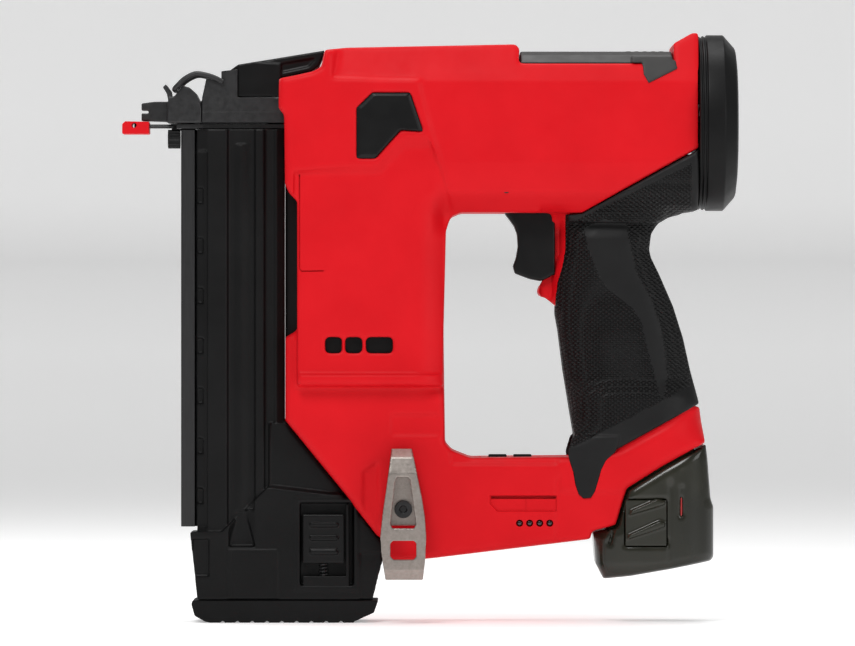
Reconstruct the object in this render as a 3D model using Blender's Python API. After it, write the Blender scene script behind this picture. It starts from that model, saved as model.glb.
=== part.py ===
"""Cordless brad nailer: a gas-spring driver wound back by a motor, with a slide-open magazine and a slide-in battery.

Every number below is in millimetres and becomes metres when a mesh is made. X runs from the nose (negative) to the
rear cap, Z is up, and the tool's left side is -Y. The origin is on the floor, under the middle of the foot pad.
"""
import math

import bmesh
import bpy
from mathutils import Matrix, Vector

MM = 0.001
GAP = 0.3

# The housing: half widths, wall and screws.
BODY_HALF = 31.0
LOWER_HALF = 24.0
CORE_HALF = 21.6
GRIP_HALF = 23.2
WALL = 2.5
CORE_WALL = 1.8
PART_LINE = 0.15
SCREW_SPOTS = ((95.0, 190.0, BODY_HALF), (60.0, 108.5, BODY_HALF), (124.0, 60.0, LOWER_HALF))

# The drive line runs along X at this height; the lifter turns about Z beside it.
DRIVE_Z = 224.5
LIFTER = (36.0, 9.7)
LIFTER_RADIUS = 11.5
LIFTER_STEP = math.radians(30.0)
LIFTER_PINS = 10
PIN_RADIUS = 1.1
BLADE_HALF = 0.8
TANK_RADIUS = 17.8
MOTOR_RADIUS = 17.5

# The battery stem leans back in the grip: a point on its middle line, and its lean from upright.
BATTERY_SPOT = (158.0, 60.0)
BATTERY_LEAN = math.radians(11.3)
STEM_HALF_DEPTH = 22.0
STEM_HALF_WIDTH = 19.5
BATTERY_HALF = 23.8
CELL_RADIUS = 9.1
CELL_LENGTH = 65.0

# The magazine: the track walls, the sliding cover and the foot.
BRAD_LENGTH = 32.0
BRAD_FRONT = -42.0
MAGAZINE_TOP = 216.8
RAIL_BOTTOM = 42.0
FOOT_HALF = 15.0
PAD_HALF = 15.5
PAD_TOP = 9.8
TREAD_PITCH = 6.5

FINISHES = {
    "red_plastic": ((0.70, 0.010, 0.018), 0.38, 0.0),
    "black_plastic": ((0.016, 0.016, 0.017), 0.45, 0.0),
    "black_rubber": ((0.013, 0.013, 0.014), 0.75, 0.0),
    "black_metal": ((0.020, 0.020, 0.022), 0.40, 0.7),
    "steel": ((0.42, 0.38, 0.35), 0.35, 1.0),
    "bright_steel": ((0.62, 0.62, 0.63), 0.25, 1.0),
    "aluminium": ((0.66, 0.67, 0.68), 0.38, 1.0),
    "smoke_plastic": ((0.030, 0.030, 0.022), 0.22, 0.0),
    "cell_wrap": ((0.45, 0.02, 0.02), 0.40, 0.0),
    "circuit_board": ((0.02, 0.16, 0.06), 0.50, 0.0),
    "magnet": ((0.20, 0.20, 0.21), 0.50, 0.8),
    "brass": ((0.60, 0.42, 0.14), 0.35, 1.0),
    "grey_plastic": ((0.13, 0.13, 0.14), 0.45, 0.0),
    "clear_lens": ((0.05, 0.01, 0.01), 0.10, 0.0),
}

UPPER = (
    (3.5, 104.0), (67.4, 104.0), (67.6, 130.0), (68.6, 172.0), (70.5, 178.0), (75.0, 180.0), (128.2, 180.0),
    (179.1, 208.2), (179.1, 258.6), (176.4, 258.6), (168.1, 253.9), (168.3, 245.1), (100.3, 245.1), (100.8, 251.7),
    (99.0, 253.6), (24.6, 252.1), (15.6, 251.0), (14.0, 243.5), (10.5, 241.6), (2.6, 239.8), (-4.4, 238.5),
    (-4.6, 225.5), (-2.2, 222.6), (-1.8, 192.3), (0.0, 188.3), (3.5, 184.8),
)
UPPER_HOLLOW = (
    (6.2, 106.6), (64.9, 106.6), (65.1, 130.0), (66.0, 174.0), (69.5, 182.6), (127.5, 182.6), (176.6, 209.8),
    (185.0, 209.8), (185.0, 242.5), (97.8, 242.5), (97.8, 251.0), (24.8, 249.4), (18.0, 248.4), (16.4, 241.7),
    (11.8, 239.0), (3.6, 237.2), (-1.6, 236.2), (-2.0, 226.2), (0.5, 223.4), (0.8, 193.0), (2.6, 189.6), (6.2, 186.2),
)
LOWER = (
    (-1.8, 125.4), (-1.8, 88.9), (41.2, 36.0), (41.6, 26.8), (61.6, 28.4), (88.0, 31.6), (131.8, 36.9),
    (132.6, 40.4), (143.0, 43.1), (147.8, 59.0), (163.2, 68.6), (182.2, 79.2), (180.0, 95.5), (144.0, 75.7),
    (123.6, 73.0), (79.2, 72.6), (71.3, 75.7), (68.2, 79.2), (67.6, 125.0), (3.5, 128.5),
)
CORE = (
    (115.3, 181.0), (115.3, 147.0), (112.6, 142.6), (118.3, 138.0), (120.0, 128.5), (122.2, 111.0), (125.7, 90.0),
    (128.4, 72.0), (177.0, 84.0), (177.5, 96.0), (174.0, 111.0), (171.0, 125.0), (166.6, 139.0), (160.4, 153.5),
    (156.8, 161.0), (156.0, 165.0), (157.0, 172.0), (160.0, 178.0), (163.0, 181.0),
)
GRIP = (
    (121.0, 179.4), (121.0, 164.0), (119.7, 156.6), (117.6, 149.6), (116.5, 141.0), (116.6, 135.5), (117.9, 128.5),
    (120.1, 111.0), (123.6, 90.0), (126.1, 76.4), (144.0, 76.4), (180.0, 96.2), (176.0, 111.0), (172.9, 125.0),
    (168.5, 139.0), (162.4, 153.0), (158.8, 160.2), (158.0, 164.0), (158.8, 170.7), (161.0, 174.2),
    (164.6, 177.8), (172.0, 179.4),
)
NECK = (
    (122.0, 175.9), (160.0, 175.4), (172.0, 180.0), (179.1, 181.1), (179.1, 207.7), (128.1, 179.6), (122.0, 179.1),
)
SIDE_INSERT = (
    (36.4, 232.0), (29.8, 225.5), (29.8, 203.6), (37.8, 203.6), (48.8, 215.8), (58.5, 215.2), (52.8, 232.0),
)


def outward(bm):
    """Turns every face of a closed solid outwards."""
    bmesh.ops.recalc_face_normals(bm, faces=bm.faces)
    if bm.calc_volume(signed=True) < 0.0:
        bmesh.ops.reverse_faces(bm, faces=bm.faces)


def swept(outline, low, high, axis="Y", rim=0.0):
    """Solid with an outline in the two other axes, extruded along one axis; rim rounds the edge at the high end."""
    bm = bmesh.new()
    order = {"X": (2, 0, 1), "Y": (0, 2, 1), "Z": (0, 1, 2)}[axis]
    rings = []
    for level in (low, high):
        ring = []
        for u, v in outline:
            spot = (u, v, level)
            ring.append(bm.verts.new([spot[i] * MM for i in order]))
        rings.append(ring)
    bm.faces.new(rings[0])
    bm.faces.new(rings[1])
    count = len(outline)
    for i in range(count):
        j = (i + 1) % count
        bm.faces.new((rings[0][i], rings[0][j], rings[1][j], rings[1][i]))
    outward(bm)
    if rim:
        edges = [e for e in bm.edges if all(v in rings[1] for v in e.verts)]
        bmesh.ops.bevel(bm, geom=edges, offset=rim * MM, segments=2, profile=0.5, affect="EDGES", clamp_overlap=True)
    return bm


def block(low, high):
    """Rectangular solid between two corners."""
    outline = ((low[0], low[1]), (high[0], low[1]), (high[0], high[1]), (low[0], high[1]))
    return swept(outline, low[2], high[2], "Z")


def ring_points(centre, radius, sides, stretch=1.0):
    """Points evenly spaced round a circle, or round an oval stretched along its second axis."""
    turn = 2 * math.pi / sides
    return [(centre[0] + radius * math.cos(i * turn), centre[1] + radius * stretch * math.sin(i * turn))
            for i in range(sides)]


def rod(centre, radius, low, high, axis="Z", sides=20):
    """Round bar along an axis; centre is in the two other axes."""
    return swept(ring_points(centre, radius, sides), low, high, axis)


def turned(profile, centre, axis="Z", sides=28):
    """Ring or solid of revolution from a closed profile of (radius, height); a zero radius is a point on the axis."""
    bm = bmesh.new()
    order = {"X": (2, 0, 1), "Z": (0, 1, 2)}[axis]
    rings = []
    for radius, height in profile:
        spots = ring_points(centre, radius, sides if radius else 1)
        rings.append([bm.verts.new([(u, v, height)[i] * MM for i in order]) for u, v in spots])
    for i, ring in enumerate(rings):
        follow = rings[(i + 1) % len(rings)]
        for k in range(sides):
            corners = [ring[k % len(ring)], ring[(k + 1) % len(ring)]]
            corners += [follow[(k + 1) % len(follow)], follow[k % len(follow)]]
            corners = list(dict.fromkeys(corners))
            if len(corners) > 2:
                bm.faces.new(corners)
    outward(bm)
    return bm


def wire(path, radius, sides=8):
    """Bent round wire through a list of points, with flat ends."""
    points = [Vector(p) * MM for p in path]
    bm = bmesh.new()
    side = (points[1] - points[0]).orthogonal().normalized()
    rings = []
    for i, point in enumerate(points):
        ahead = (points[min(i + 1, len(points) - 1)] - points[max(i - 1, 0)]).normalized()
        side = (side - ahead * side.dot(ahead)).normalized()
        other = ahead.cross(side)
        ring = []
        for k in range(sides):
            angle = 2 * math.pi * k / sides
            ring.append(bm.verts.new(point + (side * math.cos(angle) + other * math.sin(angle)) * radius * MM))
        rings.append(ring)
    for ring, follow in zip(rings, rings[1:]):
        for k in range(sides):
            j = (k + 1) % sides
            bm.faces.new((ring[k], ring[j], follow[j], follow[k]))
    bm.faces.new(rings[0])
    bm.faces.new(rings[-1])
    outward(bm)
    return bm


def coil(start, axis, radius, gauge, length, turns, steps=10):
    """Helical spring that starts at a point and runs along X or Z."""
    path = []
    for i in range(int(turns * steps) + 1):
        angle = 2 * math.pi * i / steps
        along = length * i / (turns * steps)
        across = (radius * math.cos(angle), radius * math.sin(angle))
        step = (along, *across) if axis == "X" else (*across, along)
        path.append([start[k] + step[k] for k in range(3)])
    return wire(path, gauge, 5)


def inset(outline, depth):
    """The outline moved inwards by a depth, for outlines listed anticlockwise or clockwise."""
    area = sum(a[0] * b[1] - b[0] * a[1] for a, b in zip(outline, outline[1:] + outline[:1]))
    sign = 1.0 if area > 0 else -1.0
    moved = []
    count = len(outline)
    for i in range(count):
        before = Vector(outline[i]) - Vector(outline[i - 1])
        after = Vector(outline[(i + 1) % count]) - Vector(outline[i])
        normal_a = Vector((-before.y, before.x)).normalized() * sign
        normal_b = Vector((-after.y, after.x)).normalized() * sign
        half = (normal_a + normal_b).normalized()
        reach = depth / max(half.dot(normal_a), 0.4)
        moved.append(tuple(Vector(outline[i]) + half * reach))
    return tuple(moved)


def flipped(bm):
    """The solid mirrored to the other side of the tool."""
    bmesh.ops.transform(bm, matrix=Matrix.Scale(-1.0, 4, (0.0, 1.0, 0.0)), verts=bm.verts)
    bmesh.ops.reverse_faces(bm, faces=bm.faces)
    return bm


def leaned(bm):
    """A solid drawn upright about the battery spot, leaned back with the grip."""
    pivot = Vector((BATTERY_SPOT[0], 0.0, BATTERY_SPOT[1])) * MM
    turn = Matrix.Translation(pivot) @ Matrix.Rotation(-BATTERY_LEAN, 4, "Y") @ Matrix.Translation(-pivot)
    bmesh.ops.transform(bm, matrix=turn, verts=bm.verts)
    return bm


def material(finish):
    """The Principled material of one finish, made once."""
    found = bpy.data.materials.get(finish)
    if found:
        return found
    colour, roughness, metallic = FINISHES[finish]
    made = bpy.data.materials.new(finish)
    made.use_nodes = True
    shader = made.node_tree.nodes["Principled BSDF"]
    shader.inputs["Base Color"].default_value = (*colour, 1.0)
    shader.inputs["Roughness"].default_value = roughness
    shader.inputs["Metallic"].default_value = metallic
    return made


def add_object(name, bm, origin):
    """An object from a solid drawn in the tool's frame, with its origin where asked."""
    bmesh.ops.translate(bm, vec=-Vector(origin) * MM, verts=bm.verts)
    mesh = bpy.data.meshes.new(name)
    bm.to_mesh(mesh)
    bm.free()
    made = bpy.data.objects.new(name, mesh)
    made.location = Vector(origin) * MM
    bpy.context.collection.objects.link(made)
    return made


def build(name, finish, solid, joined=(), cuts=(), meet=None, origin=(0.0, 0.0, 0.0)):
    """One node: a solid, the solids joined to it, then the cuts, as Boolean modifiers."""
    made = add_object(name, solid, origin)
    made.data.materials.append(material(finish))
    steps = [("UNION", s) for s in joined]
    if meet:
        steps.append(("INTERSECT", meet))
    steps += [("DIFFERENCE", s) for s in cuts]
    for number, (operation, shape) in enumerate(steps):
        tool = add_object(f"{name}.tool{number}", shape, (0.0, 0.0, 0.0))
        tool.hide_render = True
        tool.display_type = "WIRE"
        step = made.modifiers.new(f"step{number}", "BOOLEAN")
        step.operation = operation
        step.solver = "EXACT"
        step.object = tool
    made.data.shade_smooth()
    made.data.set_sharp_from_angle(angle=math.radians(32.0))
    return made


def side_cuts():
    """What both housing halves leave out: the hollow, the openings, and the seats of the pieces set into them."""
    cuts = [swept(UPPER_HOLLOW, -3.0, BODY_HALF - WALL)]
    cuts.append(swept(inset(LOWER, WALL), -3.0, LOWER_HALF - WALL))
    cuts.append(block((6.0, -3.0, 95.0), (64.8, LOWER_HALF - WALL, 135.0)))
    cuts.append(swept(inset(CORE, CORE_WALL), -3.0, CORE_HALF - CORE_WALL))
    cuts.append(block((120.0, -3.0, 165.0), (154.0, CORE_HALF - CORE_WALL, 183.5)))
    cuts.append(rod((0.0, DRIVE_Z), TANK_RADIUS + 0.6, 84.0, 182.0, "X", 28))
    cuts.append(block((-8.0, -3.0, 204.0), (8.0, 11.2, 241.0)))
    cuts.append(leaned(block((158.0 - 22.6, -3.0, 22.0), (158.0 + 22.6, 20.2, 106.0))))
    cuts.append(block((107.0, -3.0, 147.5), (124.0, 8.7, 179.8)))
    cuts.append(block((93.6, -3.0, 179.0), (122.0, 8.7, 183.5)))
    cuts.append(block((83.9, -3.0, 70.4), (110.1, 8.1, 76.0)))
    for low, high in ((15.8, 23.0), (24.6, 32.0), (33.6, 45.3)):
        cuts.append(block((low, 20.0, 118.4), (high, 40.0, 125.4)))
    cuts.append(swept(inset(SIDE_INSERT, -GAP), BODY_HALF - 2.2, 40.0))
    return cuts


def housing_half(side, name):
    """One moulded half of the housing; the left half is drawn on +Y and flipped."""
    shape = swept(UPPER, -1.0, BODY_HALF, rim=6.0)
    nib = ((116.2, 160.0), (113.8, 156.0), (111.3, 150.6), (109.2, 146.9), (108.8, 145.2), (109.9, 143.3),
           (112.4, 142.8), (116.2, 146.0))
    joined = [swept(LOWER, -1.0, LOWER_HALF, rim=3.5), swept(CORE, -1.0, CORE_HALF, rim=3.0),
              swept(nib, -1.0, CORE_HALF, rim=1.2)]
    cuts = side_cuts()
    for x, z, half in SCREW_SPOTS:
        cuts.append(rod((x, z), 2.0, -3.0, 40.0 if side > 0 else half - 2.0, "Y", 12))
        if side > 0:
            cuts.append(rod((x, z), 3.4, half - 3.0, 40.0, "Y", 12))
    if side < 0:
        cuts.append(rod((49.9, 50.2), 2.4, 10.0, 40.0, "Y", 12))
        cuts.append(block((97.7, LOWER_HALF - 1.7, 41.7), (117.3, 40.0, 46.3)))
    cuts.append(block((-20.0, -10.0, 0.0), (200.0, PART_LINE, 300.0)))
    shapes = [shape, *joined, *cuts]
    if side < 0:
        shapes = [flipped(s) for s in shapes]
    return build(name, "red_plastic", shapes[0], shapes[1:4], shapes[4:])


def housing_screws():
    """The screws that close the housing from its right side."""
    for number, (x, z, half) in enumerate(SCREW_SPOTS, 1):
        head = rod((x, z), 3.0, half - 2.7, half - 0.7, "Y", 16)
        shank = rod((x, z), 1.7, -half + 4.0, half - 2.0, "Y", 12)
        socket = rod((x, z), 1.4, half - 1.9, half + 1.0, "Y", 6)
        build(f"housing_screw_{number}", "steel", head, [shank], [socket])


def grip_cover(side, name):
    """One half of the soft cover that wraps the grip core and the neck under the rear of the body."""
    shape = swept(GRIP, -1.0, GRIP_HALF, rim=5.0)
    joined = [swept(NECK, -1.0, BODY_HALF - 0.3, rim=2.5)]
    neck_hollow = ((124.0, 177.6), (158.0, 177.6), (171.0, 182.2), (182.0, 183.4), (182.0, 212.0), (124.0, 181.0))
    cuts = [
        swept(inset(CORE, -GAP), -3.0, CORE_HALF + GAP),
        block((113.0, -3.0, 178.2), (165.5, CORE_HALF + GAP, 190.0)),
        swept(neck_hollow, -3.0, BODY_HALF - 2.6),
        block((100.0, -10.0, 0.0), (200.0, PART_LINE, 300.0)),
    ]
    shapes = [shape, *joined, *cuts]
    if side < 0:
        shapes = [flipped(s) for s in shapes]
    return build(name, "black_rubber", shapes[0], shapes[1:2], shapes[2:])


def covers():
    """Rear cap, top cover, side inserts and the keypad and gauge panels."""
    oval = ring_points((0.0, 219.8), 34.5, 32, 38.8 / 34.5)
    hollow = ring_points((0.0, 219.8), 31.5, 32, 35.8 / 31.5)
    build("rear_cap", "black_plastic", swept(oval, 179.4, 197.1, "X", rim=5.0), cuts=[swept(hollow, 170.0, 191.0, "X")])
    arch = ((-26.0, 245.4), (26.0, 245.4), (22.0, 249.2), (14.0, 250.9), (-14.0, 250.9), (-22.0, 249.2))
    build("top_cover", "black_plastic", swept(arch, 101.1, 167.7, "X"))
    for name, side in (("side_insert_left", -1), ("side_insert_right", 1)):
        shape = swept(SIDE_INSERT, BODY_HALF - 1.9, BODY_HALF - 0.1, rim=0.6)
        build(name, "black_plastic", shape if side > 0 else flipped(shape))
    panel = block((84.2, -7.8, 70.8), (109.8, 7.8, 72.5))
    holes = [block((x - 0.3, -5.3, 70.0), (x + 8.3, 5.3, 74.0)) for x in (87.4, 98.4)]
    build("keypad_panel", "grey_plastic", panel, cuts=holes)
    build("gauge_lens", "clear_lens", block((98.0, -LOWER_HALF + 0.1, 42.0), (117.0, -LOWER_HALF + 1.4, 46.0)))


def nose_base():
    """The fixed nose: driver channel, brad inlet, forked tip and the ears of the jam lever."""
    base = ((-38.7, 219.6), (8.0, 219.6), (8.0, 230.4), (-22.0, 230.9), (-30.4, 231.2), (-30.4, 238.2), (-36.8, 239.4),
            (-38.7, 230.6))
    tip = ((-65.6, 220.7), (-38.0, 219.6), (-38.0, 229.2), (-60.0, 229.2), (-65.6, 228.4))
    joined = [
        swept(((-54.0, 219.6), (-38.0, 219.6), (-38.0, 229.2), (-54.0, 229.2)), -9.0, 9.0),
        swept(tip, -4.0, 4.0),
    ]
    ear = ((-30.2, 224.0), (-23.0, 224.0), (-23.0, 243.2), (-30.2, 242.4))
    joined += [swept(ear, 8.5, 10.5), swept(ear, -10.5, -8.5)]
    cuts = [
        block((-47.0, -7.2, DRIVE_Z - 1.2), (9.0, 1.9, DRIVE_Z + 1.2)),
        block((-70.0, -1.4, DRIVE_Z - 1.2), (-46.0, 1.4, DRIVE_Z + 1.2)),
        block((BRAD_FRONT - 4.5, -1.2, 210.0), (-8.0, 1.2, DRIVE_Z)),
        block((-32.0, -8.4, 231.1), (-20.0, 8.4, 250.0)),
    ]
    build("nose_base", "black_metal", swept(base, -10.5, 10.5), joined, cuts)


def jam_release():
    """The lever that clears a jam, the wire bail it works and the nose door the bail holds shut."""
    arm = ((-26.5, 233.0), (-22.0, 231.7), (-7.0, 231.7), (-5.6, 238.6), (-4.2, 239.5), (2.6, 240.8), (9.8, 242.6),
           (12.7, 244.6), (15.1, 250.4), (15.1, 251.6), (-16.7, 246.4), (-22.9, 245.4), (-29.0, 241.0), (-30.0, 236.0))
    build("jam_lever", "black_plastic", swept(arm, -8.0, 8.0, rim=0.8), origin=(-26.5, 0.0, 238.0))
    side_path = [(-29.6, 237.6), (-36.7, 240.6), (-41.5, 241.2), (-46.2, 239.0), (-49.6, 236.0), (-50.6, 234.7)]
    near = [(x, -12.0, z) for x, z in side_path]
    far = [(x, 12.0, z) for x, z in reversed(side_path)]
    corners = [(-50.8, -10.6, 234.5), (-50.8, 10.6, 234.5)]
    build("wire_bail", "steel", wire(near + corners + far, 0.9), origin=(-29.6, 0.0, 237.6))
    door = ((-53.6, 229.6), (-40.1, 229.6), (-41.4, 232.8), (-47.3, 236.1), (-50.7, 230.9), (-52.2, 231.2),
            (-52.6, 233.8), (-54.6, 236.6), (-56.0, 235.4), (-54.2, 232.4))
    cheek = ((-54.0, 219.8), (-39.1, 219.8), (-39.1, 226.0), (-39.8, 229.6), (-41.4, 232.8), (-44.2, 235.2),
             (-47.3, 236.1), (-50.7, 231.5), (-53.6, 230.4))
    cheeks = [swept(cheek, 9.3, 10.4), swept(cheek, -10.4, -9.3)]
    build("nose_door", "black_metal", swept(door, -10.0, 10.0), cheeks, origin=(-40.1, 0.0, 229.6))


def contact_foot():
    """The sprung contact arm, its threaded rod, the soft tip and the wheel that sets the depth."""
    arm = ((-50.0, -8.0), (13.5, -8.0), (13.5, -2.0), (-50.0, -2.0))
    build("contact_arm", "steel", swept(arm, 217.2, 219.2, "Z"))
    build("contact_rod", "steel", rod((-4.8, 218.2), 0.9, -65.5, -51.6, "X", 12))
    tip = ((-73.9, 214.8), (-62.0, 214.8), (-62.0, 220.2), (-72.6, 220.4), (-73.9, 219.2))
    hole = rod((-68.6, 218.6), 1.1, -20.0, 20.0, "Y", 10)
    bore = rod((-4.8, 218.2), 1.2, -66.0, -60.0, "X", 12)
    build("contact_tip", "red_plastic", swept(tip, -9.0, 4.0), cuts=[hole, bore])
    knurl = [(-4.8 + r * math.cos(a), 212.6 + r * math.sin(a))
             for r, a in ((4.2 if i % 2 else 3.9, 2 * math.pi * i / 32) for i in range(32))]
    build("depth_wheel", "black_plastic", swept(knurl, -53.8, -48.4, "X"), origin=(-51.0, -4.8, 212.6))
    build("contact_spring", "bright_steel", coil((13.9, -5.0, 218.2), "X", 2.0, 0.3, 9.5, 6))


def magazine():
    """The fixed rail and brads, and the sliding cover with its foot, pad, latch and pusher."""
    rail = ((-48.0, -8.0), (-42.0, -8.0), (-42.0, -3.0), (-8.0, -3.0), (-8.0, -1.1), (-46.0, -1.1), (-46.0, 1.1),
            (-8.0, 1.1), (-8.0, 3.0), (-42.0, 3.0), (-42.0, 8.0), (-48.0, 8.0))
    build("magazine_rail", "aluminium", swept(rail, RAIL_BOTTOM, MAGAZINE_TOP, "Z"))
    strip = swept(((BRAD_FRONT, -0.6), (BRAD_FRONT + BRAD_LENGTH, -0.6), (BRAD_FRONT + BRAD_LENGTH, 0.6),
                   (BRAD_FRONT, 0.6)), 160.0, DRIVE_Z - BLADE_HALF - GAP, "Z")
    build("brad_strip", "bright_steel", strip)
    half = ((-40.8, 10.0), (-36.0, 13.0), (-27.7, 13.0), (-27.0, 11.2), (-15.6, 11.2), (-15.0, 13.0), (-11.4, 13.0),
            (-10.9, 11.6), (-6.8, 11.6), (-6.2, 12.6), (-2.6, 10.6))
    channel = half + tuple((x, -y) for x, y in reversed(half))
    foot = ((-43.8, 39.7), (-40.6, 10.1), (36.6, 10.1), (40.6, 26.0), (40.4, 34.6), (-2.8, 87.6), (-9.0, 87.6),
            (-9.0, 60.0), (-30.0, 39.7))
    cuts = [
        block((-45.0, -3.5, 40.6), (-7.4, 3.5, 230.0)),
        block((4.4, -20.0, 16.3), (28.2, -9.6, 52.8)),
    ]
    foot_solid = swept(foot, -FOOT_HALF, FOOT_HALF)
    build("magazine_cover", "black_plastic", swept(channel, 20.0, MAGAZINE_TOP, "Z"), [foot_solid], cuts)
    pad = [(-42.8, PAD_TOP), (-43.2, 8.0), (-41.8, 3.0), (-37.0, 0.4)]
    for number in range(10):
        x = -35.0 + number * TREAD_PITCH
        pad += [(x, 0.0), (x + 4.6, 0.0), (x + 5.2, 0.9), (x + 6.0, 0.9)]
    pad += [(30.8, 1.6), (37.0, 4.4), (38.9, PAD_TOP)]
    build("foot_pad", "black_rubber", swept(pad, -PAD_HALF, PAD_HALF))
    latch = [(5.9, 26.2), (23.8, 26.2), (23.8, 47.4), (5.9, 47.4)]
    ridges = [block((9.0, -15.2, z), (20.5, -14.0, z + 1.4)) for z in (31.0, 36.5, 42.0)]
    build("magazine_latch", "black_plastic", swept(latch, -14.6, -10.2), ridges)
    build("latch_spring", "bright_steel", coil((14.8, -12.4, 17.0), "Z", 1.7, 0.3, 8.8, 6))
    push = ((-44.5, 130.0), (-8.4, 130.0), (-8.4, 156.0), (-10.0, 159.5), (-44.5, 159.5))
    build("pusher", "grey_plastic", swept(push, -0.8, 0.8))


def drive():
    """The gas spring, the driver and its piston, and the lifter wheel that winds them back."""
    line = (0.0, DRIVE_Z)
    r = TANK_RADIUS
    tank = ((r, 84.0), (r, 176.0), (16.2, 176.0), (16.2, 86.5), (7.4, 86.5), (7.4, 84.0))
    build("air_tank", "aluminium", turned(tank, line, "X", 32))
    liner = ((15.9, 86.9), (15.9, 89.5), (12.5, 89.5), (12.5, 166.0), (11.1, 166.0), (11.1, 89.5), (7.4, 89.5),
             (7.4, 86.9))
    build("cylinder_liner", "bright_steel", turned(liner, line, "X"))
    build("bumper", "black_rubber", turned(((10.7, 89.9), (10.7, 94.0), (7.4, 94.0), (7.4, 89.9)), line, "X"))
    end = ((0.0, 176.3), (r, 176.3), (r, 178.7), (4.0, 178.7), (3.4, 184.0), (0.0, 184.0))
    build("tank_end", "aluminium", turned(end, line, "X"))
    piston = ((0.0, 149.0), (10.7, 149.0), (10.7, 151.5), (9.7, 151.5), (9.7, 153.5), (10.7, 153.5), (10.7, 158.0),
              (0.0, 158.0))
    build("piston", "aluminium", turned(piston, line, "X"), origin=(149.0, 0.0, DRIVE_Z))
    pitch = LIFTER_RADIUS * LIFTER_STEP
    root_y = LIFTER[1] - LIFTER_RADIUS - PIN_RADIUS - 0.4
    tip_y = LIFTER[1] - LIFTER_RADIUS + 0.9
    outline = [(-11.5, -1.0), (8.0, -1.0), (10.0, -6.8), (148.7, -6.8), (148.7, 1.0), (97.0, 1.0), (95.5, root_y)]
    for number in reversed(range(LIFTER_PINS + 1)):
        x = LIFTER[0] + (number - 0.5) * pitch
        outline += [(x + 1.25, root_y), (x + 0.75, tip_y), (x - 0.75, tip_y), (x - 1.25, root_y)]
    outline += [(22.0, root_y), (20.0, 1.0), (-11.5, 1.0)]
    blade = swept(outline, DRIVE_Z - BLADE_HALF, DRIVE_Z + BLADE_HALF, "Z")
    build("driver_blade", "bright_steel", blade, origin=(-11.5, 0.0, DRIVE_Z))
    top = DRIVE_Z - BLADE_HALF - 0.5
    wheel = ((0.0, 203.0), (5.0, 203.0), (5.0, top - 3.5), (14.1, top - 3.5), (14.1, top), (0.0, top))
    pins = []
    for number in range(LIFTER_PINS):
        angle = -math.pi / 2 + number * LIFTER_STEP
        spot = (LIFTER[0] + LIFTER_RADIUS * math.cos(angle), LIFTER[1] + LIFTER_RADIUS * math.sin(angle))
        pins.append(rod(spot, PIN_RADIUS, top - 1.0, DRIVE_Z + 1.6, "Z", 10))
    build("lifter_wheel", "bright_steel", turned(wheel, LIFTER), pins, origin=(*LIFTER, top))


def motor():
    """The brushless motor, its fan and bearings, and the gearbox above it."""
    r = MOTOR_RADIUS
    can = ((r, 131.0), (r, 184.0), (4.5, 184.0), (4.5, 182.0), (16.2, 182.0), (16.2, 131.0))
    build("motor_can", "magnet", turned(can, LIFTER))
    build("motor_stator", "brass", turned(((15.9, 138.0), (15.9, 177.0), (9.9, 177.0), (9.9, 138.0)), LIFTER))
    build("motor_end_plate", "grey_plastic", turned(((r, 127.8), (r, 130.7), (5.0, 130.7), (5.0, 127.8)), LIFTER))
    for name, z in (("motor_bearing_lower", 128.0), ("motor_bearing_upper", 182.2)):
        build(name, "bright_steel", turned(((4.2, z), (4.2, z + 2.4), (2.6, z + 2.4), (2.6, z)), LIFTER, sides=20))
    rotor = ((0.0, 116.0), (2.5, 116.0), (2.5, 140.0), (9.4, 140.0), (9.4, 175.0), (2.5, 175.0), (2.5, 194.0),
             (0.0, 194.0))
    build("motor_rotor", "magnet", turned(rotor, LIFTER, sides=24), origin=(*LIFTER, 116.0))
    hub = turned(((16.3, 117.6), (16.3, 119.0), (4.6, 119.4), (4.6, 125.0), (2.8, 125.0), (2.8, 117.6)), LIFTER)
    vanes = []
    for number in range(9):
        vane = block((LIFTER[0] + 4.2, LIFTER[1] - 0.5, 118.6), (LIFTER[0] + 15.8, LIFTER[1] + 0.5, 126.4))
        pivot = Vector((*LIFTER, 0.0)) * MM
        turn = Matrix.Rotation(2 * math.pi * number / 9, 3, "Z")
        bmesh.ops.rotate(vane, cent=pivot, matrix=turn, verts=vane.verts)
        vanes.append(vane)
    build("motor_fan", "grey_plastic", hub, vanes, origin=(*LIFTER, 117.6))
    gear = ((16.5, 187.5), (16.5, 214.0), (5.4, 214.0), (5.4, 211.5), (14.6, 211.5), (14.6, 187.5))
    build("gearbox_case", "aluminium", turned(gear, LIFTER))


def trigger_group():
    """Trigger, its return spring and the switch it works."""
    outline = ((94.2, 181.6), (94.6, 179.6), (96.0, 177.8), (98.6, 174.2), (99.9, 170.7), (100.3, 165.4), (99.4, 160.2), (98.1, 156.6),
               (99.0, 153.4), (105.6, 150.9), (110.4, 150.0), (114.8, 152.0), (114.8, 181.6))
    stem = block((114.0, -4.0, 162.0), (118.0, 4.0, 170.0))
    flanges = [block((114.0, 4.4, 152.6), (116.6, 8.0, 181.6)), block((114.0, -8.0, 152.6), (116.6, -4.4, 181.6))]
    build("trigger", "black_plastic", swept(outline, -8.0, 8.0), [stem, *flanges])
    build("trigger_spring", "bright_steel", coil((115.4, 0.0, 156.4), "X", 2.6, 0.35, 8.6, 5))
    plunger = rod((0.0, 166.0), 2.0, 124.8, 128.0, "X", 12)
    build("trigger_switch", "black_plastic", block((126.0, -9.0, 141.0), (147.0, 9.0, 172.0)), [plunger])


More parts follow.
